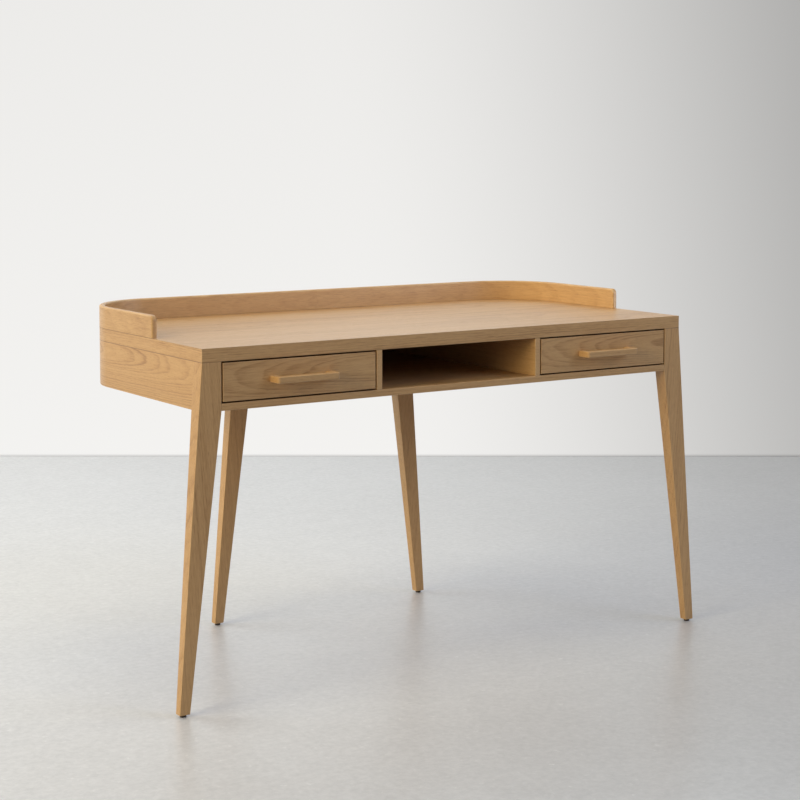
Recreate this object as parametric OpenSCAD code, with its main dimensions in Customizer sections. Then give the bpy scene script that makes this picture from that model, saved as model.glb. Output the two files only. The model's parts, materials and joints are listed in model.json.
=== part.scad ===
// Writing desk with a bent gallery rail, two drawers and an open cubby.
// Units are millimetres. +X runs to the sitter's right, +Y to the back, +Z up.
// The origin is on the floor, under the middle of the desk's outer box.

/* [Desktop] */
// Width of the desktop
desk_w = 1300; // [1180:5:1400]
// Depth of the desktop
desk_d = 645; // [600:5:700]
// Height of the writing surface above the floor
desk_h = 765; // [720:5:780]
// Thickness of the desktop slab
top_t = 29; // [24:1:34]
// Radius of the two back corners in plan
corner_r = 175; // [150:5:200]

/* [Gallery rail] */
// Height of the rail above the writing surface
rail_h = 50; // [35:1:60]
// Thickness of the rail
rail_t = 13; // [11:0.5:15]
// Distance from the desk's front edge to the rail's ends
rail_setback = 234; // [210:2:270]
// Radius of the rounded top corner at each end of the rail
rail_end_r = 12; // [6:1:20]

/* [Case] */
// Height of the case below the desktop
case_h = 103; // [103:1:120]
// Thickness of the bottom board
bottom_t = 15; // [15:1:16]
// Thickness of the bent side shells and the back panel
shell_t = 15; // [15:1:18]
// Width of the open cubby between the dividers
cubby_w = 420; // [380:5:440]
// Thickness of each divider
divider_t = 14; // [14:1:16]

/* [Legs] */
// Width of a front leg inside the case
leg_w = 45; // [45:1:50]
// Depth of a front leg at the desktop
leg_d = 37; // [34:0.5:40]
// Width of every leg at the foot
foot_w = 24; // [22:1:28]
// Depth of every leg at the foot
foot_d = 19.5; // [18:0.5:24]
// How far a front foot stands outside the desktop's side
splay = 57.8; // [40:0.2:65]
// Distance from the desk's middle to the middle of a rear leg's top
rear_leg_x = 234; // [200:1:260]
// Distance from the desk's middle to the middle of a rear foot
rear_foot_x = 298; // [260:1:320]
// Width of a rear leg at its top
rear_leg_w = 53; // [46:1:56]
// Depth of a rear leg at its top
rear_leg_d = 32.5; // [30:0.5:36]
// Distance from the back of the desk to the back of a rear leg
rear_leg_inset = 20; // [16:1:40]
// Diameter of a foot glide
glide_d = 13.5; // [12:0.5:18]
// Thickness of a foot glide
glide_h = 5.3; // [4:0.1:6]

/* [Drawers] */
// Gap all round a drawer front
front_gap = 3.5; // [2:0.5:4]
// Thickness of a drawer front
front_t = 18; // [16:1:20]
// Thickness of the drawer box sides, front and back
box_t = 12; // [10:1:13]
// Height of the drawer box
box_h = 60; // [50:1:64]
// Length of the drawer box behind its front
box_l = 380; // [360:5:420]
// Thickness of the drawer bottom
box_floor_t = 5; // [4:0.5:6]
// Length of each ball-bearing slide
slide_l = 350; // [300:10:350]

/* [Pulls] */
// Overall width of a pull
pull_w = 152; // [120:2:180]
// Height of a pull
pull_h = 14; // [12:0.5:18]
// How far a pull stands out from the drawer front
pull_out = 36; // [32:1:42]
// Thickness of the grip bar
pull_t = 16; // [12:0.5:18]
// Width of each end post
pull_post = 15; // [13:0.5:18]
// Outer corner radius of a pull in plan
pull_r = 6; // [3:0.5:7]

/* [Hidden] */
// Fineness of all round shapes
$fn = 96;
// Heights
under_top = desk_h - top_t;
case_z = under_top - case_h;
floor_z = case_z + bottom_t;
bay_h = under_top - floor_z;
rail_top = desk_h + rail_h;
// The outer box runs from the pulls to the desk's back, and the origin is at its middle.
front_y = (pull_out - desk_d) / 2;
back_y = front_y + desk_d;
inner_back_y = back_y - shell_t;
bend_x = desk_w / 2 - corner_r;
bend_y = back_y - corner_r;
rail_end_y = front_y + rail_setback;
// Legs
leg_in_x = desk_w / 2 - leg_w;
foot_x = desk_w / 2 + splay;
rear_leg_y = back_y - rear_leg_inset;
shell_in_x = desk_w / 2 - shell_t;
// Drawer bays
divider_x = cubby_w / 2 + divider_t;
bay_w = leg_in_x - divider_x;
bay_x = divider_x + bay_w / 2;
front_w = bay_w - 2 * front_gap;
front_h = bay_h - 2 * front_gap;
slide_gap = 13;
box_lift = 10;
box_floor_lift = 8;
box_w = bay_w - 2 * slide_gap;
box_y = front_y + front_t;
box_z = floor_z + box_lift;
box_floor_z = box_z + box_floor_lift;
pull_z = floor_z + bay_h / 2;
groove = 5;
// Telescopic slides: three nested channels of bent sheet, each a little shorter than the last
slide_y = box_y + 2;
middle_short = 2;
inner_short = 3;
slide_z = box_z + box_h / 2;
sheet_t = 1.2;
outer_h = 35;
outer_reach = 10;
middle_h = 29;
middle_start = 3.2;
middle_reach = 7.8;
inner_h = 22;
inner_reach = 7;
// Fasteners: fit is the play round each one, end_gap the empty length at a dowel's end,
// and over how far a cutting shape runs past the face it cuts
fit = 0.05;
end_gap = 1;
over = 1;
dowel_r = 4;
small_dowel_r = 3;
dowel_half = 12;
rail_dowel_half = 15;
case_dowel_in_board = 8;
bolt_r = 3;
bolt_head_r = 5;
bolt_head_h = 6;
insert_r = 4.5;
insert_l = 14;
block_d = 30;
insert_sunk = 2;
insert_mouth = 4;
hex_socket_r = 2.5;
hex_socket_deep = 3;
hanger_r = 4;
hanger_below = 40;
hanger_above = 26;
leg_dowel_out = 16;
washer_t = 2;
washer_r = 9;
nut_r = 7.5;
nut_h = 8;
screw_r = 2;
screw_head_r = 4;
screw_head_h = 2;
countersink = 3.5;
divider_screw_l = 45;
cleat_screw_bite = 15;
pull_screw_bite = 18;
front_screw_bite = 12;
slide_screw_r = 1.6;
slide_screw_l = 9;
slide_screw_head_r = 3;
slide_screw_head_h = 1;
nail_r = 1.5;
nail_l = 14;
cleat = 20;
packer_gap = 6;
packer_below = 2;
packer_past = 10;
// Bolt places in a front leg, and screw places along a slide
leg_bolt_x = leg_in_x + 17;
bolt_z = [floor_z + 20, under_top - 20];
slide_screw_y = [slide_y + 30, slide_y + slide_l - 40];
// Places of the drawer front's screws from the box's ends and from the slide's middle
front_screw_in = 40;
front_screw_dz = [-10, 16];
// Places of the divider screws, the cleat screws and the flat case dowels
divider_screw_y = [front_y + 80, front_y + 320, inner_back_y - 80];
cleat_screw_x = [divider_x + 60, bend_x - 60];
side_peg_y = [front_y + 120, bend_y - 40];
back_peg_x = [bend_x - 60, 100];
joint_peg_z = [floor_z + 15, under_top - 25];
// Dowel places on the rail's centre line and on the shell's centre line, right half
rail_inset = rail_t / 2;
shell_inset = shell_t / 2;
rail_dowels_at = concat(
    [for (y = [rail_end_y + 30, bend_y - 20]) [desk_w / 2 - rail_inset, y]],
    [corner_point(rail_inset)],
    [for (x = [bend_x - 60, 60]) [x, back_y - rail_inset]]);
shell_dowels_at = concat(
    [for (y = [front_y + 90, bend_y - 20]) [desk_w / 2 - shell_inset, y]],
    [corner_point(shell_inset)],
    [[bend_x - 130, back_y - shell_inset]]);
divider_dowels_at = [for (y = [front_y + 60, inner_back_y - 60]) [divider_x - divider_t / 2, y]];
post_dowel_at = [[leg_in_x + leg_w / 2, front_y + leg_d / 2]];
OAK = "#cda26b";
OAK_FRONT = "#b98d5c";
PLY = "#dcc294";
STEEL = "#9fa3a6";
BRASS = "#b5954d";
GLIDE = "#3a2a22";

// Point on the right back corner's arc, inset from the outline, at 45 degrees
function corner_point(inset) = [
    bend_x + (corner_r - inset) * cos(45),
    bend_y + (corner_r - inset) * sin(45)
];

// Back face of a front leg at height z, which leans forward towards the floor
function leg_back_y(z) = front_y + foot_d + (z - glide_h) * (leg_d - foot_d) / (under_top - glide_h);

// ---- Helpers ----

// Everything is drawn on the right-hand side; side -1 is its mirror image.
module on_side(side) {
    if (side > 0) children();
    else mirror([1, 0, 0]) children();
}

// Turns an XZ outline into a slab from y0 to y1
module along_y(y0, y1) {
    translate([0, y1, 0]) rotate([90, 0, 0]) linear_extrude(y1 - y0) children();
}

// Turns a YZ outline into a slab from x0 to x1
module along_x(x0, x1) {
    translate([x0, 0, 0]) rotate([90, 0, 90]) linear_extrude(x1 - x0) children();
}

// Block between two corners
module block(low, high) {
    translate(low) cube(high - low);
}

// Desk outline in plan: square front corners, round back corners
module plan(inset) {
    translate([inset - desk_w / 2, front_y]) square([desk_w - 2 * inset, desk_d - corner_r]);
    translate([-bend_x, front_y]) square([2 * bend_x, desk_d - inset]);
    for (side = [-1, 1]) translate([side * bend_x, bend_y]) circle(corner_r - inset);
}

// Band of the given thickness along the sides and back of the desk
module band(thickness) {
    difference() {
        plan(0);
        plan(thickness);
    }
}

// Peg holes or pegs standing on a level, at a list of plan points
module pegs(points, z0, z1, r) {
    for (p = points) translate([p[0], p[1], z0]) cylinder(h = z1 - z0, r = r);
}

// Room in front of the leaning back face of a front leg
module leg_room() {
    z0 = case_z - over;
    z1 = under_top + over;
    along_x(leg_in_x - over, foot_x) polygon([
        [front_y - over, z0], [leg_back_y(z0), z0], [leg_back_y(z1), z1], [front_y - over, z1]
    ]);
}

// Bolt or screw pointing along +Z, with its head below the origin
module fastener(r, l, head_r, head_h) {
    cylinder(h = l, r = r);
    translate([0, 0, -head_h]) cylinder(h = head_h + 0.01, r = head_r);
}

// ---- Desktop and gallery rail ----

module desktop() {
    color(OAK) difference() {
        translate([0, 0, under_top]) linear_extrude(top_t) plan(0);
        for (side = [-1, 1]) on_side(side) {
            pegs(rail_dowels_at, desk_h - rail_dowel_half, desk_h + over, small_dowel_r + fit);
            pegs(shell_dowels_at, under_top - over, under_top + dowel_half, dowel_r + fit);
            pegs(divider_dowels_at, under_top - over, under_top + dowel_half, dowel_r + fit);
            pegs(post_dowel_at, under_top - over, under_top + dowel_half, dowel_r + fit);
            cleat_screw_set(fit);
        }
    }
}

module gallery_rail(side) {
    color(OAK) on_side(side) difference() {
        translate([0, 0, desk_h]) linear_extrude(rail_h) intersection() {
            band(rail_t);
            translate([0, rail_end_y]) square([desk_w, desk_d]);
        }
        rail_end_corner();
        pegs(rail_dowels_at, desk_h - over, desk_h + rail_dowel_half, small_dowel_r + fit);
    }
}

// What is cut away to round the rail's end
module rail_end_corner() {
    z = rail_top - rail_end_r;
    y = rail_end_y + rail_end_r;
    along_x(desk_w / 2 - rail_t - over, desk_w / 2 + over) difference() {
        translate([rail_end_y - over, z]) square([rail_end_r + over, rail_end_r + over]);
        translate([y, z]) circle(rail_end_r);
    }
}

module rail_dowels() {
    color(PLY) for (side = [-1, 1]) on_side(side)
        pegs(
            rail_dowels_at,
            desk_h - rail_dowel_half + end_gap, desk_h + rail_dowel_half - end_gap, small_dowel_r
        );
}

// ---- Case ----

// Side and bent corner in one piece, from the front leg to the back panel
module side_shell(side) {
    color(OAK) on_side(side) difference() {
        translate([0, 0, case_z]) linear_extrude(case_h) intersection() {
            band(shell_t);
            translate([bend_x, front_y]) square([corner_r + over, desk_d + over]);
        }
        leg_room();
        pegs(shell_dowels_at, under_top - dowel_half, under_top + over, dowel_r + fit);
        case_pegs(fit);
    }
}

module back_panel() {
    color(OAK) difference() {
        block([-bend_x, inner_back_y, case_z], [bend_x, back_y, under_top]);
        for (side = [-1, 1]) on_side(side) {
            pegs(shell_dowels_at, under_top - dowel_half, under_top + over, dowel_r + fit);
            case_pegs(fit);
        }
    }
}

module case_bottom() {
    color(OAK_FRONT) difference() {
        translate([0, 0, case_z]) linear_extrude(bottom_t) difference() {
            plan(shell_t);
            for (side = [-1, 1]) on_side(side)
                translate([leg_in_x, front_y - over]) square([leg_w, leg_d + over]);
        }
        for (side = [-1, 1]) on_side(side) {
            case_pegs(fit);
            divider_screw_set(fit);
            rear_leg_stud(fit);
        }
    }
}

// Pegs of the right half that lie flat: bottom board to shells and back, and the back's butt joints
module case_pegs(grow) {
    peg_z = case_z + bottom_t / 2;
    r = small_dowel_r + grow;
    half = dowel_half + (grow > 0 ? end_gap : 0);
    l = half + case_dowel_in_board;
    for (y = side_peg_y)
        translate([shell_in_x - half, y, peg_z]) rotate([0, 90, 0]) cylinder(h = l, r = r);
    for (x = back_peg_x)
        translate([x, inner_back_y - half, peg_z]) rotate([-90, 0, 0]) cylinder(h = l, r = r);
    for (z = joint_peg_z)
        translate([bend_x - half, back_y - shell_inset, z]) rotate([0, 90, 0]) cylinder(h = 2 * half, r = r);
}

module case_dowels() {
    color(PLY) for (side = [-1, 1]) on_side(side) case_pegs(0);
}

module top_dowels() {
    color(PLY) for (side = [-1, 1]) on_side(side)
        pegs(
            concat(shell_dowels_at, divider_dowels_at, post_dowel_at),
            under_top - dowel_half + end_gap, under_top + dowel_half - end_gap, dowel_r
        );
}

module divider(side) {
    color(OAK_FRONT) on_side(side) difference() {
        block([divider_x - divider_t, front_y, floor_z], [divider_x, inner_back_y, under_top]);
        pegs(divider_dowels_at, under_top - dowel_half, under_top + over, dowel_r + fit);
        divider_screw_set(fit);
        bay_slide_screws(fit);
    }
}

// Countersunk screws up through the bottom board into one divider
module divider_screw_set(grow) {
    for (y = divider_screw_y)
        translate([divider_x - divider_t / 2, y, case_z]) {
            cylinder(h = divider_screw_l + grow, r = screw_r + grow);
            translate([0, 0, -grow])
                cylinder(h = countersink + grow, r1 = screw_head_r + grow, r2 = screw_r + grow);
        }
}

module divider_screws() {
    color(STEEL) for (side = [-1, 1]) on_side(side) divider_screw_set(0);
}

// Battens behind the drawers that hold the desktop down
module top_cleats() {
    color(PLY) for (side = [-1, 1]) on_side(side) difference() {
        block(
            [divider_x + packer_gap, inner_back_y - cleat, under_top - cleat],
            [bend_x - packer_gap, inner_back_y, under_top]
        );
        cleat_screw_set(fit);
    }
}

module cleat_screw_set(grow) {
    for (x = cleat_screw_x)
        translate([x, inner_back_y - cleat / 2, under_top - cleat]) {
            cylinder(h = cleat + cleat_screw_bite + grow, r = screw_r + grow);
            translate([0, 0, -screw_head_h]) cylinder(h = screw_head_h, r = screw_head_r);
        }
}

module cleat_screws() {
    color(STEEL) for (side = [-1, 1]) on_side(side) cleat_screw_set(0);
}

// Batten that brings the outer slide level with the front leg's inner face
module slide_packer(side) {
    color(PLY) on_side(side) difference() {
        block(
            [leg_in_x, front_y + leg_d + block_d + packer_gap, box_z - packer_below],
            [shell_in_x, slide_y + slide_l + packer_past, box_z + box_h]
        );
        bay_slide_screws(fit);
    }
}

// ---- Legs ----

module front_leg(side) {
    color(OAK) on_side(side) difference() {
        intersection() {
            along_y(front_y, front_y + leg_d + over) polygon([
                [leg_in_x, case_z], [leg_in_x, under_top], [desk_w / 2, under_top],
                [foot_x, glide_h], [foot_x - foot_w, glide_h]
            ]);
            along_x(leg_in_x - over, foot_x + over) polygon([
                [front_y, glide_h], [front_y, under_top],
                [leg_back_y(under_top), under_top], [leg_back_y(glide_h), glide_h]
            ]);
        }
        pegs(post_dowel_at, under_top - dowel_half, under_top + over, dowel_r + fit);
        leg_insert_set(fit);
        glide_nail(foot_x - foot_w / 2, front_y + foot_d / 2, fit);
    }
}

// Inserts for the two bolts of one front leg, or their sockets when grown
module leg_insert_set(grow) {
    open_end = grow > 0 ? insert_mouth : 0;
    for (z = bolt_z) translate([leg_bolt_x, leg_back_y(z) - insert_l - insert_sunk, z])
        rotate([-90, 0, 0]) cylinder(h = insert_l + open_end, r = insert_r + grow);
}

module leg_inserts() {
    color(BRASS) for (side = [-1, 1]) on_side(side) difference() {
        leg_insert_set(0);
        leg_bolt_set(fit);
    }
}

// Two bolts through the corner block into one front leg
module leg_bolt_set(grow) {
    y = front_y + leg_d + block_d;
    for (z = bolt_z) translate([leg_bolt_x, y - bolt_head_h, z]) rotate([90, 0, 0])
        fastener(bolt_r + grow, y - bolt_head_h - leg_back_y(z) + insert_l, bolt_head_r + grow, bolt_head_h);
}

module front_leg_bolts() {
    color(STEEL) for (side = [-1, 1]) on_side(side) difference() {
        leg_bolt_set(0);
        for (z = bolt_z) translate([leg_bolt_x, front_y + leg_d + block_d + over, z])
            rotate([90, 0, 0]) cylinder(h = hex_socket_deep + over, r = hex_socket_r, $fn = 6);
    }
}

// Block glued inside the case that a front leg is bolted to
module leg_block(side) {
    color(PLY) on_side(side) difference() {
        block(
            [leg_in_x, front_y, floor_z],
            [shell_in_x, front_y + leg_d + block_d, under_top]
        );
        leg_room();
        leg_bolt_set(fit);
        bay_slide_screws(fit);
    }
}

module rear_leg(side) {
    color(OAK) on_side(side) difference() {
        intersection() {
            along_y(rear_leg_y - rear_leg_d - over, rear_leg_y) polygon([
                [rear_leg_x - rear_leg_w / 2, case_z], [rear_leg_x + rear_leg_w / 2, case_z],
                [rear_foot_x + foot_w / 2, glide_h], [rear_foot_x - foot_w / 2, glide_h]
            ]);
            along_x(0, desk_w / 2) polygon([
                [rear_leg_y - rear_leg_d, case_z], [rear_leg_y, case_z],
                [rear_leg_y, glide_h], [rear_leg_y - foot_d, glide_h]
            ]);
        }
        rear_leg_stud(fit);
        glide_nail(rear_foot_x, rear_leg_y - foot_d / 2, fit);
    }
}

// Stud from a rear leg up through the bottom board, with a locating dowel on each side
module rear_leg_stud(grow) {
    y = rear_leg_y - rear_leg_d / 2;
    translate([rear_leg_x, y, case_z - hanger_below])
        cylinder(h = hanger_below + hanger_above, r = hanger_r + grow);
    for (dx = [-leg_dowel_out, leg_dowel_out])
        translate([rear_leg_x + dx, y, case_z - dowel_half - grow])
            cylinder(h = 2 * (dowel_half + grow), r = small_dowel_r + grow);
}

module rear_leg_bolts() {
    color(STEEL) for (side = [-1, 1]) on_side(side) rear_leg_stud(0);
}

module rear_leg_nuts() {
    color(STEEL) for (side = [-1, 1]) on_side(side)
        translate([rear_leg_x, rear_leg_y - rear_leg_d / 2, floor_z]) difference() {
            union() {
                cylinder(h = washer_t, r = washer_r);
                cylinder(h = nut_h, r = nut_r, $fn = 6);
            }
            translate([0, 0, -over]) cylinder(h = nut_h + 2 * over, r = hanger_r + fit);
        }
}

module glide_nail(x, y, grow) {
    translate([x, y, glide_h - over]) cylinder(h = nail_l + over, r = nail_r + grow);
}

module glide(x, y) {
    translate([x, y, 0]) cylinder(h = glide_h, r = glide_d / 2);
    glide_nail(x, y, 0);
}

module foot_glides() {
    color(GLIDE) for (side = [-1, 1]) on_side(side) {
        glide(foot_x - foot_w / 2, front_y + foot_d / 2);
        glide(rear_foot_x, rear_leg_y - foot_d / 2);
    }
}

// ---- Telescopic slides ----

// C-shaped channel in XZ: its web stands at x = 0 and its flanges point along +X
module channel(height, reach) {
    translate([0, -height / 2]) square([sheet_t, height]);
    for (z = [-height / 2, height / 2 - sheet_t]) translate([0, z]) square([reach, sheet_t]);
}

// Places a slide's section on the divider (end a) or on the leg's side of the bay (end b)
module in_bay(side, end) {
    on_side(side) translate([end == "a" ? divider_x : leg_in_x, 0, slide_z])
        mirror([end == "a" ? 0 : 1, 0, end == "a" ? 1 : 0]) children();
}

module slide_outer(side, end) {
    color(STEEL) difference() {
        in_bay(side, end) along_y(slide_y, slide_y + slide_l) channel(outer_h, outer_reach);
        on_side(side) bay_slide_screws(fit);
    }
}

module slide_middle(side, end) {
    color(STEEL) in_bay(side, end) along_y(slide_y + middle_short / 2, slide_y + slide_l - middle_short)
        translate([middle_start, 0]) channel(middle_h, middle_reach);
}

module slide_inner(side, end) {
    color(STEEL) in_bay(side, end) along_y(slide_y, slide_y + slide_l - inner_short)
        translate([slide_gap, 0]) mirror([1, 0]) channel(inner_h, inner_reach);
}

// Screws that hold the two outer channels of the right bay
module bay_slide_screws(grow) {
    for (y = slide_screw_y) {
        translate([divider_x + sheet_t, y, slide_z]) rotate([0, -90, 0])
            fastener(slide_screw_r + grow, slide_screw_l, slide_screw_head_r, slide_screw_head_h);
        translate([leg_in_x - sheet_t, y, slide_z]) rotate([0, 90, 0])
            fastener(slide_screw_r + grow, slide_screw_l, slide_screw_head_r, slide_screw_head_h);
    }
}

module slide_screws() {
    color(STEEL) for (side = [-1, 1]) on_side(side) bay_slide_screws(0);
}

// ---- Drawers ----

module drawer_front(side) {
    color(OAK_FRONT) on_side(side) difference() {
        block(
            [bay_x - front_w / 2, front_y, floor_z + front_gap],
            [bay_x + front_w / 2, front_y + front_t, floor_z + front_gap + front_h]
        );
        pull_screw_set(fit);
        front_screw_set(fit);
    }
}

// C-shaped pull in plan: two end posts and a bar with rounded outer corners
module drawer_pull(side) {
    color(OAK) on_side(side) difference() {
        translate([bay_x, front_y, pull_z - pull_h / 2]) linear_extrude(pull_h) difference() {
            pull_outline();
            translate([pull_post - pull_w / 2, pull_t - pull_out])
                square([pull_w - 2 * pull_post, pull_out]);
        }
        pull_screw_set(fit);
    }
}

module pull_outline() {
    translate([-pull_w / 2, pull_r - pull_out]) square([pull_w, pull_out - pull_r]);
    translate([pull_r - pull_w / 2, -pull_out]) square([pull_w - 2 * pull_r, pull_out]);
    for (side = [-1, 1]) translate([side * (pull_w / 2 - pull_r), pull_r - pull_out]) circle(pull_r);
}

// Screws from inside the drawer into the pull's two posts
module pull_screw_set(grow) {
    for (dx = [-1, 1]) translate([bay_x + dx * (pull_w - pull_post) / 2, box_y + box_t, pull_z])
        rotate([90, 0, 0])
            fastener(screw_r + grow, box_t + front_t + pull_screw_bite, screw_head_r, screw_head_h);
}

module pull_screws(side) {
    color(STEEL) on_side(side) pull_screw_set(0);
}

// Screws from inside the drawer box into its front
module front_screw_set(grow) {
    for (dx = [-1, 1]) for (dz = front_screw_dz)
        translate([bay_x + dx * (box_w / 2 - front_screw_in), box_y + box_t, slide_z + dz])
            rotate([90, 0, 0])
                fastener(screw_r + grow, box_t + front_screw_bite, screw_head_r, screw_head_h);
}

module front_screws(side) {
    color(STEEL) on_side(side) front_screw_set(0);
}

// Drawer floor, let into grooves in the four box pieces
module floor_blank(grow) {
    half = box_w / 2 - box_t + groove;
    block(
        [bay_x - half - grow, box_y + box_t - groove - grow, box_floor_z - grow],
        [bay_x + half + grow, box_y + box_l - box_t + groove + grow, box_floor_z + box_floor_t + grow]
    );
}

module box_bottom(side) {
    color(PLY) on_side(side) floor_blank(0);
}

// Box side next to the divider (end a) or next to the leg (end b)
module box_side(side, end) {
    x0 = end == "a" ? bay_x - box_w / 2 : bay_x + box_w / 2 - box_t;
    color(PLY) on_side(side) difference() {
        block([x0, box_y, box_z], [x0 + box_t, box_y + box_l, box_z + box_h]);
        floor_blank(fit);
    }
}

// Box piece between the sides, its front face at y
module box_cross(side, y) {
    half = box_w / 2 - box_t;
    color(PLY) on_side(side) difference() {
        block([bay_x - half, y, box_z], [bay_x + half, y + box_t, box_z + box_h]);
        floor_blank(fit);
        pull_screw_set(fit);
        front_screw_set(fit);
    }
}

desktop();
gallery_rail(-1);  // gallery_rail_left
gallery_rail(1);  // gallery_rail_right
rail_dowels();
side_shell(-1);  // side_shell_left
side_shell(1);  // side_shell_right
back_panel();
case_bottom();
top_dowels();
case_dowels();
divider(-1);  // divider_left
divider(1);  // divider_right
divider_screws();
front_leg(-1);  // front_leg_left
front_leg(1);  // front_leg_right
leg_block(-1);  // leg_block_left
leg_block(1);  // leg_block_right
leg_inserts();
front_leg_bolts();
rear_leg(-1);  // rear_leg_left
rear_leg(1);  // rear_leg_right
rear_leg_bolts();
rear_leg_nuts();
foot_glides();
slide_packer(-1);  // slide_packer_left
slide_packer(1);  // slide_packer_right
top_cleats();
cleat_screws();
slide_screws();
slide_outer(-1, "a");  // left_slide_outer_a
slide_outer(-1, "b");  // left_slide_outer_b
slide_outer(1, "a");  // right_slide_outer_a
slide_outer(1, "b");  // right_slide_outer_b
slide_middle(-1, "a");  // left_slide_middle_a
slide_middle(-1, "b");  // left_slide_middle_b
slide_middle(1, "a");  // right_slide_middle_a
slide_middle(1, "b");  // right_slide_middle_b
slide_inner(-1, "a");  // left_slide_inner_a
slide_inner(-1, "b");  // left_slide_inner_b
slide_inner(1, "a");  // right_slide_inner_a
slide_inner(1, "b");  // right_slide_inner_b
drawer_front(-1);  // left_drawer_front
drawer_pull(-1);  // left_drawer_pull
pull_screws(-1);  // left_pull_screws
box_cross(-1, box_y);  // left_box_front
box_side(-1, "a");  // left_box_side_a
box_side(-1, "b");  // left_box_side_b
box_cross(-1, box_y + box_l - box_t);  // left_box_back
box_bottom(-1);  // left_box_bottom
front_screws(-1);  // left_front_screws
drawer_front(1);  // right_drawer_front
drawer_pull(1);  // right_drawer_pull
pull_screws(1);  // right_pull_screws
box_cross(1, box_y);  // right_box_front
box_side(1, "a");  // right_box_side_a
box_side(1, "b");  // right_box_side_b
box_cross(1, box_y + box_l - box_t);  // right_box_back
box_bottom(1);  // right_box_bottom
front_screws(1);  // right_front_screws
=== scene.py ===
"""Looks of the oak writing desk: finished copies of the CAD pieces, wood and metal materials, studio.

Lengths are metres in the CAD frame: +X to the sitter's right, +Y to the back, +Z up.
"""
import json
import math

import bmesh
import bpy
from mathutils import Euler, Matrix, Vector


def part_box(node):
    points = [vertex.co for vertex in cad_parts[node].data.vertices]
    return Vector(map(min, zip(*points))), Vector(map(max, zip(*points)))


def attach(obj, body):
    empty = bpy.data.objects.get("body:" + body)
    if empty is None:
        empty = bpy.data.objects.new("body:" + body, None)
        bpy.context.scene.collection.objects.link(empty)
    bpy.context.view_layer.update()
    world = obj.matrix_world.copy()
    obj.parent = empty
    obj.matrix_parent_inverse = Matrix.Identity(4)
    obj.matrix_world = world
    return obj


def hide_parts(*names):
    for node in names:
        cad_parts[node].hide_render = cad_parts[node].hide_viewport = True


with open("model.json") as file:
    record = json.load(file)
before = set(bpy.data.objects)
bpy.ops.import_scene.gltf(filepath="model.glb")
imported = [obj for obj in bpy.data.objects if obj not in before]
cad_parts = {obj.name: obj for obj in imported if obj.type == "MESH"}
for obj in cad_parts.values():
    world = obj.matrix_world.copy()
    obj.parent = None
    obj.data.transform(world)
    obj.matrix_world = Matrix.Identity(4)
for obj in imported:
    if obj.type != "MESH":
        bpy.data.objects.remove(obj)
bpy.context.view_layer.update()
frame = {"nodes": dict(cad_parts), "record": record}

RECORD = frame["record"]
BODY_OF = {n: b for b, nodes in RECORD["behaviour"]["bodies"].items() for n in nodes}
SLOT_OF = {row["node"]: row["material_slot"] for row in RECORD["subparts"]}

# ---- Places that come from the frame ----

DESK_LO, DESK_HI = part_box("desktop")
BACK_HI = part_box("back_panel")[1]
LEG_LO, LEG_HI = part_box("front_leg_right")
TOP_Z = DESK_HI.z
SLAB_Z = DESK_LO.z
# The two round back corners: their centres are at BEND_X on either side, and at BEND_Y
BEND_X = BACK_HI.x
BEND_R = DESK_HI.x - BEND_X
BEND_Y = DESK_HI.y - BEND_R
# How far the right front leg's middle moves outwards per metre of height
LEG_LEAN = (LEG_HI.x - (LEG_LO.x + LEG_HI.x) / 2) / (LEG_HI.z - LEG_LO.z)

# ---- Sizes of the soft details ----

MM = 0.001
BOARD_EDGE = 1.0 * MM
RAIL_EDGE = 3.8 * MM
LEG_EDGE = 1.3 * MM
PULL_EDGE = 1.6 * MM
PLY_EDGE = 0.5 * MM
METAL_EDGE = 0.15 * MM
GLIDE_EDGE = 0.8 * MM
SHARP = math.radians(30)
COPLANAR = math.radians(0.4)
JOINT_LEVEL = 0.05 * MM
WELD = 1e-6


# ---- Meshes ----

def lies_in_joint(edge, joint_x, joint_z):
    """Whether an edge lies at either side's joint_x or at joint_z."""
    upright = all(abs(abs(v.co.x) - joint_x) < JOINT_LEVEL for v in edge.verts)
    level = all(abs(v.co.z - joint_z) < JOINT_LEVEL for v in edge.verts)
    return upright or level


def finished_mesh(source, easing, steps, joint_x, joint_z):
    """A welded copy of a CAD mesh, its coplanar triangles joined and its sharp edges eased.

    Edges that lie in a joint stay crisp. The eased faces are marked for the painted edge highlight.
    """
    made = bmesh.new()
    made.from_mesh(source)
    bmesh.ops.remove_doubles(made, verts=made.verts, dist=WELD)
    bmesh.ops.dissolve_limit(
        made, angle_limit=COPLANAR, verts=made.verts, edges=made.edges, use_dissolve_boundaries=False
    )
    eased = made.faces.layers.float.new("eased")
    if easing:
        folded = [e for e in made.edges if len(e.link_faces) == 2 and e.calc_face_angle() > SHARP]
        bevel = bmesh.ops.bevel(
            made,
            geom=[e for e in folded if not lies_in_joint(e, joint_x, joint_z)],
            offset=easing,
            offset_type="OFFSET",
            segments=steps,
            profile=0.5,
            affect="EDGES",
            clamp_overlap=False,
            miter_outer="SHARP",
        )
        for face in bevel["faces"]:
            face[eased] = 1.0
    for face in made.faces:
        face.smooth = True
    for edge in made.edges:
        edge.smooth = len(edge.link_faces) != 2 or edge.calc_face_angle() < SHARP
    mesh = bpy.data.meshes.new("finished")
    made.to_mesh(mesh)
    made.free()
    return mesh


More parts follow.
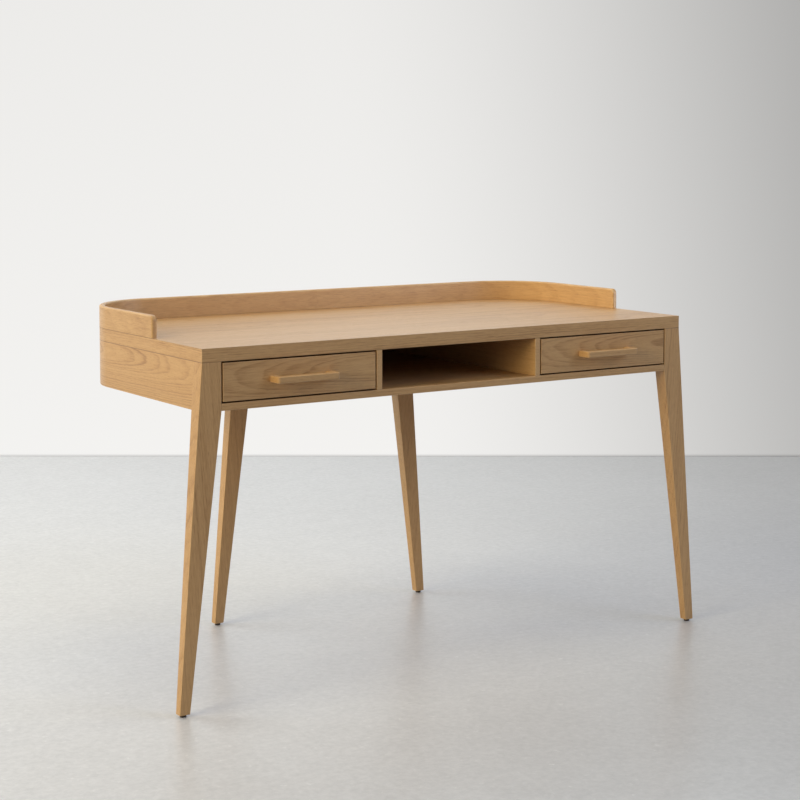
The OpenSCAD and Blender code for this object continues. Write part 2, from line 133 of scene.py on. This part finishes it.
def finished_piece(node, easing, steps):
    """The shown piece for one CAD node, riding on the node's body."""
    if node.startswith("gallery_rail"):
        # The rail's halves meet in the middle, and stand on the slab.
        joint_x = 0.0
        joint_z = TOP_Z
    else:
        # The shells meet the back panel where the bends begin, and the slab lies on them all.
        joint_x = BEND_X
        joint_z = SLAB_Z
    mesh = finished_mesh(frame["nodes"][node].data, easing, steps, joint_x, joint_z)
    piece = bpy.data.objects.new(node + "_finished", mesh)
    bpy.context.scene.collection.objects.link(piece)
    smooth = piece.modifiers.new("even shading", "WEIGHTED_NORMAL")
    smooth.keep_sharp = True
    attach(piece, BODY_OF[node])
    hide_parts(node)
    return piece


def dress(nodes, material, easing, steps=2):
    """Replaces each CAD node by its finished piece in the given material."""
    for node in nodes:
        piece = finished_piece(node, easing, steps)
        piece.data.materials.clear()
        piece.data.materials.append(material)


# ---- Shader graph helper ----

# Sockets of a colour Mix node, which shares its names between data types
MIX_SHARE = 0
MIX_FIRST = 6
MIX_SECOND = 7
MIX_RESULT = 2


class Graph:
    """Adds shader nodes to a tree. A value is a number, a colour or another node's output."""

    def __init__(self, tree):
        self.tree = tree

    def feed(self, socket, value):
        if isinstance(value, bpy.types.NodeSocket):
            self.tree.links.new(value, socket)
        else:
            socket.default_value = value

    def node(self, kind, inputs, **settings):
        made = self.tree.nodes.new(kind)
        for name, value in settings.items():
            setattr(made, name, value)
        for key, value in inputs.items():
            self.feed(made.inputs[key], value)
        return made

    def math(self, operation, *values):
        return self.node("ShaderNodeMath", dict(enumerate(values)), operation=operation).outputs[0]

    def times(self, first, second):
        return self.math("MULTIPLY", first, second)

    def minus(self, first, second):
        return self.math("SUBTRACT", first, second)

    def size(self, value):
        return self.math("ABSOLUTE", value)

    def total(self, *values):
        result = values[0]
        for value in values[1:]:
            result = self.math("ADD", result, value)
        return result

    def spread(self, value, width, middle=0.0):
        """A value of 0 to 1 spread over a width around a middle."""
        return self.math("MULTIPLY_ADD", value, width, middle - width / 2)

    def remap(self, value, low, high, out_low=0.0, out_high=1.0):
        """A value eased from low..high to out_low..out_high."""
        return self.node(
            "ShaderNodeMapRange",
            {"Value": value, "From Min": low, "From Max": high, "To Min": out_low, "To Max": out_high},
            interpolation_type="SMOOTHSTEP",
        ).outputs[0]

    def vector(self, x, y, z):
        return self.node("ShaderNodeCombineXYZ", {"X": x, "Y": y, "Z": z}).outputs[0]

    def split(self, vector):
        return self.node("ShaderNodeSeparateXYZ", {"Vector": vector}).outputs

    def noise_node(self, cells, detail, roughness):
        """Noise at scale 1, since its place is already in cells."""
        inputs = {"Vector": cells, "Scale": 1.0, "Detail": detail, "Roughness": roughness}
        return self.node("ShaderNodeTexNoise", inputs)

    def noise(self, cells, detail, roughness=0.5):
        return self.noise_node(cells, detail, roughness).outputs[0]

    def three_noises(self, cells, detail):
        return self.split(self.noise_node(cells, detail, 0.5).outputs[1])

    def chance(self, number):
        """Random outputs for a whole number: a value, then a colour."""
        return self.node("ShaderNodeTexWhiteNoise", {"W": number}, noise_dimensions="1D").outputs

    def mix(self, share, first, second, blend="MIX"):
        inputs = {MIX_SHARE: share, MIX_FIRST: first, MIX_SECOND: second}
        made = self.node("ShaderNodeMix", inputs, data_type="RGBA", blend_type=blend)
        return made.outputs[MIX_RESULT]

    def place(self):
        """The point's place on the desk at rest, as x, y and z."""
        return self.split(self.node("ShaderNodeTexCoord", {}).outputs["Object"])

    def cells(self, per_x, per_y, per_z):
        """The point's place in noise cells, so many per metre along each axis."""
        x, y, z = self.place()
        return self.vector(self.times(x, per_x), self.times(y, per_y), self.times(z, per_z))

    def along(self, direction):
        """How far the point lies along a level direction."""
        place = self.place()
        return self.total(self.times(place["X"], direction.x), self.times(place["Y"], direction.y))

    def face_normal(self):
        return self.split(self.node("ShaderNodeNewGeometry", {}).outputs["True Normal"])


def new_material(name):
    """A material with only a Principled shader, and its graph helper."""
    material = bpy.data.materials.new(name)
    material.use_nodes = True
    tree = material.node_tree
    tree.nodes.clear()
    shader = tree.nodes.new("ShaderNodeBsdfPrincipled")
    output = tree.nodes.new("ShaderNodeOutputMaterial")
    tree.links.new(shader.outputs[0], output.inputs[0])
    return material, shader, Graph(tree)


def paint(g, shader, colour, roughness, height, bump, depth):
    """Feeds a shader its colour, roughness and relief. bump is the relief's strength."""
    relief = g.node("ShaderNodeBump", {"Strength": bump, "Distance": depth, "Height": height})
    g.feed(shader.inputs["Base Color"], colour)
    g.feed(shader.inputs["Roughness"], roughness)
    g.feed(shader.inputs["Normal"], relief.outputs[0])


# ---- Board coordinates: along the grain, across the face, through the thickness ----

# Width of the desktop's veneer leaves, and how far their figure is moved along and across at most
LEAF = 0.155
LEAF_SLIDE = 1.6
LEAF_SHIFT = 0.07


def along_axes(order, lean=0.0):
    """Board coordinates of a straight piece. order is such as "xyz"; lean is dx/dz of a leg."""
    def place(g):
        axes = dict(zip("xyz", g.place()))
        if lean:
            axes["x"] = g.minus(axes["x"], g.times(axes["z"], lean))
        return [axes[letter] for letter in order]
    return place


def along_bend(g):
    """Board coordinates of a bent piece: the grain follows the side, the corner and the back."""
    x, y, z = g.place()
    past_x = g.minus(g.size(x), BEND_X)
    past_y = g.minus(y, BEND_Y)
    turn = g.math("ARCTAN2", past_y, past_x)
    turn = g.math("MINIMUM", g.math("MAXIMUM", turn, 0.0), math.pi / 2)
    back = g.math("MAXIMUM", g.times(past_x, -1.0), 0.0)
    u = g.total(g.math("MINIMUM", y, BEND_Y), g.times(turn, BEND_R), back)
    across_x = g.math("MAXIMUM", past_x, 0.0)
    across_y = g.math("MAXIMUM", past_y, 0.0)
    w = g.math("SQRT", g.total(g.math("POWER", across_x, 2.0), g.math("POWER", across_y, 2.0)))
    return u, z, w


def veneered_top(g):
    """Board coordinates of the desktop: veneer leaves on its faces, bands along its edges."""
    x, y, z = g.place()
    number = g.math("FLOOR", g.math("DIVIDE", y, LEAF))
    chance = g.split(g.chance(number)[1])
    from_middle = g.minus(y, g.math("MULTIPLY_ADD", number, LEAF, LEAF / 2))
    leaf = g.vector(
        g.math("MULTIPLY_ADD", chance[0], LEAF_SLIDE, x),
        g.math("MULTIPLY_ADD", chance[1], LEAF_SHIFT, from_middle),
        g.minus(z, TOP_Z),
    )
    front = g.vector(x, z, y)
    band = g.vector(*along_bend(g))
    normal = g.face_normal()
    on_front = g.math("LESS_THAN", normal["Y"], -0.7)
    on_face = g.math("GREATER_THAN", g.size(normal["Z"]), 0.7)
    return g.split(g.mix(on_face, g.mix(on_front, band, front), leaf))


class Board:
    """A board in its own coordinates: u along the grain, v across the face, w through it."""

    def __init__(self, g, place, seed):
        self.g = g
        self.u, self.v, self.w = place(g)
        self.seed = seed

    def cells(self, along, across, offset):
        """The point's place in noise cells, so many per metre along and across the grain."""
        g = self.g
        return g.vector(
            g.math("MULTIPLY_ADD", self.u, along, 7.13 * self.seed + offset),
            g.times(self.v, across),
            g.math("MULTIPLY_ADD", self.w, across, 3.7 * self.seed - offset),
        )


# ---- Oak ----

OAK_LIGHT = (0.600, 0.354, 0.150, 1)
OAK_MID = (0.465, 0.250, 0.093, 1)
OAK_DARK = (0.245, 0.112, 0.038, 1)
# Colour of the painted highlight along the eased edges
OAK_EDGE_HIGHLIGHT = (0.720, 0.480, 0.240, 1)
# Colour of the glue line and painted shade in the joints
JOINT_DARK = (0.150, 0.072, 0.026, 1)
OAK_ROUGHNESS = 0.42
# Ripples of the year rings, and the power that makes their arches blunt, where 2 is round
RIPPLE = 0.004
BLUNT = 2.8
# Noise cells per ring of uneven growth and of the broad bands, and how many rings growth shifts
UNEVEN_CELLS = 0.45
UNEVEN_SHIFT = 2.0
BAND_CELLS = 0.22
# Spans of a ring's width over which its line comes up and fades
LINE_RISE = (0.30, 0.84)
LINE_FALL = (0.86, 1.0)
FAINTEST_LINE = 0.3
# How strongly each of these shows in the wood
BAND = 1.2
BROAD_STREAKS = 0.55
MEDIUM_STREAKS = 0.65
FINE_STREAKS = 0.90
SLOW_DRIFT = 0.5
PORES = 0.40
# EDGE_HIGHLIGHT is the strength of the painted highlight along the eased edges
EDGE_HIGHLIGHT = 0.45
JOINT = 0.7
LAYER = 0.35


def year_rings(g, board, heart, tilt, ring, wander):
    """Lines and broad bands of the year rings, which close in blunt arches around the board's heart.

    Returns the line of each ring (0 to 1), the tone of its band (0 to 1) and a slow drift (0 to 1).
    """
    drift = g.three_noises(board.cells(along=1.6, across=7.0, offset=0.0), 2.0)
    ripple = g.three_noises(board.cells(along=10.0, across=55.0, offset=4.4), 2.0)
    across = g.total(
        g.minus(board.v, heart[1]),
        g.spread(drift[0], wander),
        g.spread(ripple[0], RIPPLE),
    )
    depth = g.total(
        g.math("MULTIPLY_ADD", board.u, tilt, -heart[0] * tilt),
        g.minus(board.w, heart[2]),
        g.spread(drift[1], wander),
        g.spread(ripple[1], RIPPLE),
    )
    reach = g.total(
        g.math("POWER", g.size(across), BLUNT),
        g.math("POWER", g.size(depth), BLUNT),
    )
    radius = g.math("POWER", reach, 1 / BLUNT)
    uneven = g.noise(g.vector(g.times(radius, UNEVEN_CELLS / ring), heart[0], 0.0), 1.0)
    phase = g.total(g.math("DIVIDE", radius, ring), g.times(uneven, UNEVEN_SHIFT))
    number = g.math("FLOOR", phase)
    share = g.minus(phase, number)
    line = g.times(g.remap(share, *LINE_RISE), g.remap(share, *LINE_FALL, 1.0, 0.0))
    weight = g.math("MULTIPLY_ADD", g.chance(number)[0], 1 - FAINTEST_LINE, FAINTEST_LINE)
    band = g.noise(g.vector(g.times(radius, BAND_CELLS / ring), heart[0], 4.0), 1.0)
    return g.times(line, weight), band, drift[2]


def joint_shade(g):
    """A line of glue and painted shade on upright faces where the rail, the slab and the case meet.

    It is JOINT in the line, and 0 elsewhere.
    """
    z = g.place()["Z"]
    shade = 0.0
    for level in (TOP_Z, SLAB_Z):
        distance = g.size(g.minus(z, level))
        line = g.remap(distance, 0.5 * BOARD_EDGE, 0.9 * BOARD_EDGE, JOINT, 0.0)
        shade = g.math("MAXIMUM", line, shade)
    return g.times(shade, g.math("LESS_THAN", g.size(g.face_normal()["Z"]), 0.9))


def painted_edge_highlight(g, board):
    """A painted highlight: up to 1 in patches along the eased edges of a piece, and 0 elsewhere."""
    eased = g.node("ShaderNodeAttribute", {}, attribute_name="eased").outputs["Fac"]
    patches = g.noise(board.cells(along=25.0, across=60.0, offset=2.2), 2.0)
    return g.times(eased, g.remap(patches, 0.3, 0.6))


def layer_lines(g, thickness):
    """Glue lines of a piece pressed from flat layers, seen on its two ends."""
    share = g.math("FRACT", g.math("DIVIDE", g.place()["Z"], thickness))
    line = g.remap(g.size(g.minus(share, 0.5)), 0.22, 0.45, 0.0, LAYER)
    return g.times(line, g.math("GREATER_THAN", g.size(g.face_normal()["X"]), 0.4))


def oak(name, place, seed, heart=(0.0, -0.3, 0.0), tilt=0.02, ring=0.008, wander=0.02,
        figure=0.4, streak=1.0, tone=0.0, layers=0.0):
    """Satin lacquered oak.

    heart is the middle of the year rings, in board coordinates. tilt is the slope of the log's axis,
    ring the width of a ring, and wander how far the rings stray. figure and streak are the strength
    of rings and streaks, tone makes a board darker, and layers is the thickness of pressed layers.
    """
    material, shader, g = new_material(name)
    board = Board(g, place, seed)
    lines, band, drift = year_rings(g, board, heart, tilt, ring, wander)
    broad = g.noise(board.cells(along=1.8, across=60.0, offset=5.7), 3.0, 0.6)
    medium = g.noise(board.cells(along=8.0, across=280.0, offset=9.3), 2.0, 0.6)
    fine = g.noise(board.cells(along=36.0, across=700.0, offset=7.9), 1.0, 0.6)
    pores = g.remap(g.noise(board.cells(along=60.0, across=1600.0, offset=12.9), 1.0), 0.57, 0.72)
    highlit_edges = painted_edge_highlight(g, board)
    shade = g.total(
        g.times(lines, figure),
        g.spread(band, BAND * figure),
        g.spread(broad, BROAD_STREAKS * streak),
        g.spread(medium, MEDIUM_STREAKS * streak),
        g.spread(fine, FINE_STREAKS * streak),
        g.spread(drift, SLOW_DRIFT, middle=0.35 + tone),
    )
    shade.node.use_clamp = True
    colour = g.mix(shade, OAK_LIGHT, OAK_MID)
    colour = g.mix(g.remap(shade, 0.50, 1.30, 0.0, 0.60), colour, OAK_DARK)
    colour = g.mix(g.times(pores, PORES), colour, OAK_DARK)
    if layers:
        colour = g.mix(layer_lines(g, layers), colour, OAK_DARK)
    # Painted highlight along the eased edges
    colour = g.mix(g.times(highlit_edges, EDGE_HIGHLIGHT), colour, OAK_EDGE_HIGHLIGHT)
    # Glue line and painted shade where the rail, the slab and the case meet
    colour = g.mix(joint_shade(g), colour, JOINT_DARK)
    roughness = g.total(
        g.times(pores, 0.15), g.times(highlit_edges, 0.10), g.spread(broad, 0.10, middle=OAK_ROUGHNESS)
    )
    height = g.total(g.times(pores, -1.0), g.times(fine, 0.5))
    paint(g, shader, colour, roughness, height, bump=0.25, depth=0.2 * MM)
    shader.inputs["Specular IOR Level"].default_value = 0.5
    shader.inputs["Coat Weight"].default_value = 0.20
    shader.inputs["Coat Roughness"].default_value = 0.20
    return material


# ---- Other materials ----

def plain_wood(name, light, dark):
    """Unfigured timber or birch ply, with faint streaks and, on upright edges, fine layers."""
    material, shader, g = new_material(name)
    streak = g.noise(g.cells(40.0, 6.0, 180.0), 3.0, 0.6)
    speck = g.noise(g.cells(900.0, 60.0, 900.0), 1.0)
    shade = g.total(g.remap(streak, 0.3, 0.7), g.spread(speck, 0.5))
    roughness = g.spread(streak, 0.1, middle=0.65)
    paint(g, shader, g.mix(shade, light, dark), roughness, speck, bump=0.2, depth=0.2 * MM)
    return material


def metal(name, colour, middle_roughness):
    """Zinc-plated or brass hardware with faint mottling and fine scratches."""
    material, shader, g = new_material(name)
    cloud = g.noise(g.cells(90.0, 60.0, 90.0), 3.0)
    scratch = g.noise(g.cells(2500.0, 40.0, 2500.0), 2.0)
    dark = tuple(0.72 * c for c in colour[:3]) + (1,)
    mottled = g.mix(g.remap(cloud, 0.3, 0.7), colour, dark)
    roughness = g.spread(scratch, 0.16, middle=middle_roughness)
    paint(g, shader, mottled, roughness, scratch, bump=0.15, depth=0.1 * MM)
    shader.inputs["Metallic"].default_value = 1.0
    return material


def glide_plastic():
    """Moulded dark brown plastic with a fine grainy surface."""
    material, shader, g = new_material("glide_plastic")
    grain = g.noise(g.cells(1800.0, 1800.0, 1800.0), 2.0)
    colour = g.mix(grain, (0.030, 0.019, 0.013, 1), (0.062, 0.040, 0.028, 1))
    paint(g, shader, colour, g.spread(grain, 0.2, middle=0.55), grain, bump=0.3, depth=0.1 * MM)
    return material


# ---- The desk ----

DRAWER_HEART = {"left": (-0.12, 0.703, -0.30), "right": (0.70, 0.700, -0.30)}


def dress_top():
    dress(["desktop"], oak(
        "oak_top", veneered_top, seed=1, heart=(-0.5, 0.0, 0.0), tilt=0.03, ring=0.006, wander=0.03,
        figure=0.45, streak=1.4,
    ), BOARD_EDGE)


def dress_side(side, index):
    """The oak pieces of one side, each of its own board."""
    lean = LEG_LEAN if side == "right" else -LEG_LEAN
    upright = along_axes("zxy", lean)
    dress([f"gallery_rail_{side}"], oak(
        f"oak_rail_{side}", along_bend, seed=2 + index, heart=(1.25, 0.783, BEND_R), tilt=0.05,
        ring=0.0045, figure=0.30, streak=1.3, tone=-0.14,
    ), RAIL_EDGE, steps=4)
    dress([f"side_shell_{side}"], oak(
        f"oak_shell_{side}", along_bend, seed=4 + index, heart=(0.36, 0.717, BEND_R), tilt=0.071,
        ring=0.0048, wander=0.008, figure=0.62, streak=0.8, tone=-0.05,
    ), BOARD_EDGE)
    dress([f"front_leg_{side}"], oak(
        f"oak_front_leg_{side}", upright, seed=6 + index, heart=(0.0, 0.2, 0.0),
        figure=0.35, streak=1.3,
    ), LEG_EDGE)
    dress([f"rear_leg_{side}"], oak(
        f"oak_rear_leg_{side}", upright, seed=8 + index, heart=(0.0, 0.1, 0.0),
        figure=0.35, streak=1.4, tone=-0.06,
    ), LEG_EDGE)
    dress([f"divider_{side}"], oak(
        f"oak_divider_{side}", along_axes("yzx"), seed=10 + index, tone=-0.25,
    ), BOARD_EDGE)
    dress([f"{side}_drawer_front"], oak(
        f"oak_drawer_{side}", along_axes("xzy"), seed=12 + index, heart=DRAWER_HEART[side], tilt=0.085,
        ring=0.005, figure=0.55,
    ), BOARD_EDGE)
    dress([f"{side}_drawer_pull"], oak(
        f"oak_pull_{side}", along_axes("xyz"), seed=14 + index, heart=(0.0, -0.33, 0.2), ring=0.004,
        tone=-0.1, layers=0.0028,
    ), PULL_EDGE, steps=3)


def dress_back_and_bottom():
    dress(["back_panel"], oak(
        "oak_back", along_axes("xzy"), seed=16, heart=(0.9, 0.69, BACK_HI.y), tilt=0.06, figure=0.6,
    ), BOARD_EDGE)
    dress(["case_bottom"], oak("oak_bottom", along_axes("xyz"), seed=17), BOARD_EDGE)


def dress_the_rest():
    """The pieces that aren't oak, by their material slot."""
    ply = plain_wood("drawer_ply", (0.72, 0.55, 0.34, 1), (0.60, 0.43, 0.25, 1))
    timber = plain_wood("plain_timber", (0.66, 0.49, 0.29, 1), (0.52, 0.36, 0.19, 1))
    peg = plain_wood("beech_peg", (0.68, 0.50, 0.31, 1), (0.56, 0.39, 0.22, 1))
    zinc = metal("zinc_slide", (0.62, 0.63, 0.64, 1), 0.38)
    screw = metal("zinc_screw", (0.56, 0.56, 0.55, 1), 0.34)
    brass = metal("brass_insert", (0.70, 0.52, 0.22, 1), 0.35)
    by_slot = {
        "drawer_box_wood": (ply, PLY_EDGE),
        "plain_timber": (timber, PLY_EDGE),
        "dowel_wood": (peg, 0),
        "slide_steel": (zinc, METAL_EDGE),
        "screw_steel": (screw, 0),
        "brass_insert": (brass, 0),
        "glide_plastic": (glide_plastic(), GLIDE_EDGE),
    }
    for slot, (material, easing) in by_slot.items():
        dress([node for node in SLOT_OF if SLOT_OF[node] == slot], material, easing)


# ---- Camera ----

CAMERA_AT = Vector((-2.3601, -3.6425, 1.1915))
CAMERA_YAW = math.radians(33.341)
CAMERA_PITCH = math.radians(4.618)
CAMERA_LENS = 82.405
CAMERA_SENSOR = 36.0
CAMERA_SHIFT = -0.14
VIEW_DIRECTION = Vector((math.sin(CAMERA_YAW), math.cos(CAMERA_YAW), 0))
VIEW_SIDE = Vector((math.cos(CAMERA_YAW), -math.sin(CAMERA_YAW), 0))


def make_camera():
    data = bpy.data.cameras.new("camera")
    data.lens = CAMERA_LENS
    data.sensor_width = CAMERA_SENSOR
    data.shift_y = CAMERA_SHIFT
    camera = bpy.data.objects.new("camera", data)
    camera.location = CAMERA_AT
    camera.rotation_euler = Euler((math.pi / 2 - CAMERA_PITCH, 0, -CAMERA_YAW))
    bpy.context.scene.collection.objects.link(camera)
    bpy.context.scene.camera = camera


# ---- Floor and backdrop ----

FLOOR_HALF = 14.0
FLOOR_DARK = (0.535, 0.528, 0.540, 1)
FLOOR_LIGHT = (0.695, 0.683, 0.697, 1)
FLOOR_FLECK = (0.88, 0.87, 0.88, 1)
# About how much darker painted shade makes the floor per metre to the right, over FALL_REACH to either
# side
FLOOR_SHADE_FALL = 0.12
FALL_REACH = 2.5
# The share of its bounced light that the floor really throws back
FLOOR_BOUNCE = 0.5
FLOOR_IOR = 2.1

# Along VIEW_DIRECTION, the backdrop lies on the floor from BACKDROP_FROM, and rises behind a bend
# at BACKDROP_RISE.
BACKDROP_FROM = 2.50
BACKDROP_RISE = 6.5
BACKDROP_BEND = 1.0
BACKDROP_TOP = 9.0
BACKDROP_HALF = 14.0
BACKDROP_LIFT = 0.002
BEND_STEPS = 12
# A painted shadow makes it dimmer over a narrow strip where it meets the floor.
SEAM_SHADOW_WIDTH = 0.06
SEAM_SHADOW_LEVEL = 0.74

# The backdrop's painted shading is laid out by slopes from one fixed point in front of the desk.
GLOW_FROM = 4.34
GLOW_HEIGHT = 1.19
GLOW_LIFT = 0.17
GLOW_COLOUR = (1.0, 0.990, 0.970, 1)


def concrete():
    """Pale polished concrete with clouds, pale flecks and a soft sheen.

    Painted shade makes it a little darker to the right, like the backdrop. The light that it throws
    back up at the desk is cut to FLOOR_BOUNCE, which keeps the desk's shaded faces dark.
    """
    material, shader, g = new_material("pale_concrete")
    place = g.place()

    def patches(per_metre, offset, detail, roughness):
        cells = g.vector(g.times(place["X"], per_metre), g.times(place["Y"], per_metre), offset)
        return g.noise(cells, detail, roughness)

    cloud = patches(1.3, offset=0.0, detail=5.0, roughness=0.55)
    mottle = patches(14.0, offset=3.0, detail=5.0, roughness=0.7)
    grain = patches(60.0, offset=6.0, detail=3.0, roughness=0.7)
    flecks = g.remap(patches(48.0, offset=9.0, detail=3.0, roughness=0.65), 0.60, 0.80)
    shade = g.total(g.spread(cloud, 0.7), g.spread(mottle, 0.8), g.spread(grain, 1.6, middle=0.5))
    colour = g.mix(shade, FLOOR_DARK, FLOOR_LIGHT)
    colour = g.mix(g.times(flecks, 0.6), colour, FLOOR_FLECK)
    # Painted shade: the floor gets darker to the right, as if its light fell off
    shade_fall = FALL_REACH * FLOOR_SHADE_FALL
    level = g.remap(g.along(VIEW_SIDE), -FALL_REACH, FALL_REACH, 1 + shade_fall, 1 - shade_fall)
    bounced = g.node("ShaderNodeLightPath", {}).outputs["Is Diffuse Ray"]
    level = g.times(level, g.remap(bounced, 0.0, 1.0, 1.0, FLOOR_BOUNCE))
    g.feed(shader.inputs["Base Color"], g.mix(1.0, colour, level, "MULTIPLY"))
    g.feed(shader.inputs["Roughness"], g.spread(cloud, 0.12, middle=0.34))
    shader.inputs["IOR"].default_value = FLOOR_IOR
    return material


def paper():
    """White backdrop that glows by itself, so that it stays plain, with painted shade darker right and
    above.
    """
    material = bpy.data.materials.new("white_backdrop")
    material.use_nodes = True
    tree = material.node_tree
    tree.nodes.clear()
    g = Graph(tree)
    behind = g.along(VIEW_DIRECTION)
    reach = g.math("ADD", behind, GLOW_FROM)
    right = g.math("DIVIDE", g.along(VIEW_SIDE), reach)
    above = g.math("DIVIDE", g.minus(g.place()["Z"], GLOW_HEIGHT), reach)
    above = g.math("ADD", above, GLOW_LIFT)
    # Painted shade: the glow gets darker to the right and above
    level = g.remap(g.math("MULTIPLY_ADD", above, 0.12, right), -0.02, 0.36, 0.90, 0.36)
    level = g.times(level, g.math("MULTIPLY_ADD", above, -0.26, 1.0))
    # Painted shadow along the strip where the backdrop meets the floor
    seam_shadow = g.remap(behind, BACKDROP_FROM, BACKDROP_FROM + SEAM_SHADOW_WIDTH, SEAM_SHADOW_LEVEL, 1.0)
    level = g.times(level, seam_shadow)
    glow = g.node("ShaderNodeEmission", {"Color": GLOW_COLOUR, "Strength": level})
    output = tree.nodes.new("ShaderNodeOutputMaterial")
    tree.links.new(glow.outputs[0], output.inputs[0])
    return material


def sheet_object(name, points, material):
    """A flat or folded strip of the set: rows of two points each."""
    mesh = bpy.data.meshes.new(name)
    faces = [(i, i + 1, i + 3, i + 2) for i in range(0, len(points) - 2, 2)]
    mesh.from_pydata([tuple(p) for p in points], [], faces)
    made = bpy.data.objects.new(name, mesh)
    bpy.context.scene.collection.objects.link(made)
    made.data.materials.append(material)


def make_floor():
    corners = [(x, y, 0) for y in (-FLOOR_HALF, FLOOR_HALF) for x in (-FLOOR_HALF, FLOOR_HALF)]
    sheet_object("floor", corners, concrete())


def make_backdrop():
    bend_from = BACKDROP_RISE - BACKDROP_BEND
    profile = [(BACKDROP_FROM, BACKDROP_LIFT), (bend_from, BACKDROP_LIFT)]
    for step in range(1, BEND_STEPS + 1):
        turn = math.pi / 2 * step / BEND_STEPS
        far = bend_from + BACKDROP_BEND * math.sin(turn)
        up = BACKDROP_LIFT + BACKDROP_BEND * (1 - math.cos(turn))
        profile.append((far, up))
    profile.append((BACKDROP_RISE, BACKDROP_TOP))
    points = []
    for far, up in profile:
        middle = VIEW_DIRECTION * far + Vector((0, 0, up))
        points.append(middle - VIEW_SIDE * BACKDROP_HALF)
        points.append(middle + VIEW_SIDE * BACKDROP_HALF)
    sheet_object("backdrop", points, paper())


# ---- Lights ----

LIT_POINT = Vector((0, 0, 0.6))
ROOM_LIGHT = (0.208, 0.229, 0.260, 1)
ROOM_SHEEN = (0.480, 0.500, 0.540, 1)
ROOM_SHOWN = (0.780, 0.780, 0.770, 1)


def soft_box(name, azimuth, height, distance, size, power, colour, sheen=True, fill=True):
    """A square soft light at an azimuth (0 is the front, 90 the right) and a height angle, in degrees.

    A light without sheen brightens surfaces but makes no highlight on them. A light without fill
    makes highlights only.
    """
    data = bpy.data.lights.new(name, "AREA")
    data.shape = "SQUARE"
    data.size = size
    data.energy = power
    data.color = colour
    turn = math.radians(azimuth)
    rise = math.radians(height)
    away = Vector((math.sin(turn) * math.cos(rise), -math.cos(turn) * math.cos(rise), math.sin(rise)))
    light = bpy.data.objects.new(name, data)
    light.location = LIT_POINT + away * distance
    light.rotation_euler = (-away).to_track_quat("-Z", "Y").to_euler()
    light.visible_camera = False
    light.visible_glossy = sheen
    light.visible_diffuse = fill
    bpy.context.scene.collection.objects.link(light)
    return light


def light_only(light, name, nodes):
    """Keeps a light off everything but the finished pieces of these CAD nodes."""
    receivers = bpy.data.collections.new(name)
    for node in nodes:
        receivers.objects.link(bpy.data.objects[node + "_finished"])
    light.light_linking.receiver_collection = receivers


def make_lights():
    soft_box("key", azimuth=285, height=15, distance=15.0, size=5.5,
             power=885, colour=(1.0, 0.88, 0.57), sheen=False)
    soft_box("upper left", azimuth=270, height=30, distance=13.0, size=5.5,
             power=555, colour=(1.0, 0.91, 0.64), sheen=False)
    soft_box("back left", azimuth=225, height=35, distance=4.0, size=2.0,
             power=44, colour=(0.92, 0.99, 1.0))
    soft_box("back right", azimuth=140, height=40, distance=4.0, size=2.0,
             power=20, colour=(0.60, 0.84, 1.0))
    soft_box("right", azimuth=75, height=30, distance=4.0, size=2.0,
             power=27, colour=(1.0, 0.84, 0.60), sheen=False)
    glint = soft_box("glint", azimuth=52, height=7, distance=4.0, size=2.4,
                     power=85, colour=(1.0, 0.99, 0.98), fill=False)
    light_only(glint, "rails", ["gallery_rail_left", "gallery_rail_right"])
    soft_box("front", azimuth=40, height=26, distance=5.0, size=2.5,
             power=68, colour=(0.46, 0.62, 1.0), sheen=False)
    soft_box("overhead", azimuth=0, height=85, distance=4.0, size=2.0,
             power=33, colour=(1.0, 0.93, 0.70))


def make_room():
    """The room around the set: it lights dimly, gives a soft sheen, and looks pale past the floor."""
    world = bpy.data.worlds.new("studio")
    world.use_nodes = True
    g = Graph(world.node_tree)
    ray = g.node("ShaderNodeLightPath", {}).outputs
    level = g.mix(ray["Is Glossy Ray"], ROOM_LIGHT, ROOM_SHEEN)
    background = world.node_tree.nodes["Background"]
    g.feed(background.inputs["Color"], g.mix(ray["Is Camera Ray"], level, ROOM_SHOWN))
    bpy.context.scene.world = world


# ---- The scene ----

make_camera()
dress_top()
for index, side in enumerate(("left", "right")):
    dress_side(side, index)
dress_back_and_bottom()
dress_the_rest()
make_floor()
make_backdrop()
make_lights()
make_room()
bpy.context.scene.view_settings.view_transform = "Standard"
